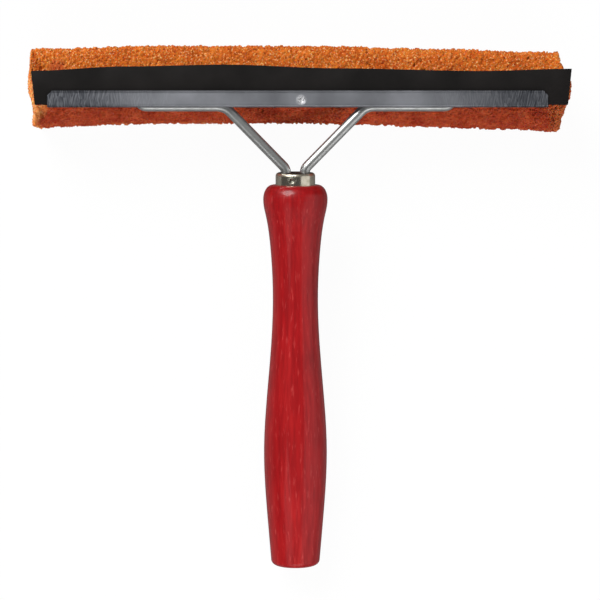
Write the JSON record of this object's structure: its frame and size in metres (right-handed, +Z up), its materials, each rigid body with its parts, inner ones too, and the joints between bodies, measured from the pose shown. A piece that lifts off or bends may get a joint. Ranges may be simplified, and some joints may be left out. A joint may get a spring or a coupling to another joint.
{
  "type": "window cleaning squeegee",
  "caption": "Hand window squeegee: black rubber blade in a steel channel, orange foam sponge behind it, forked wire neck and turned red wooden handle",
  "frame": {"origin": "under the middle of the bounding box, on the surface that the squeegee lies on", "axes": "+X along the blade, +Y from the butt of the handle to the wiping edge, +Z up out of the face that shows the blade"},
  "size_m": [0.2056, 0.1992, 0.0371],
  "materials": {
    "red_lacquered_wood": "gloss",
    "nickel_plate": "polished",
    "zinc_wire": "satin",
    "zinc_sheet": "satin",
    "black_rubber": "matte",
    "orange_foam": "matte"
  },
  "bodies": {
    "root": {"handle": "red_lacquered_wood", "ferrule": "nickel_plate", "left_wire": "zinc_wire", "right_wire": "zinc_wire", "blade_channel": "zinc_sheet", "rubber_blade": "black_rubber", "sponge_clamp": "zinc_sheet", "sponge": "orange_foam"}
  },
  "joints": []
}
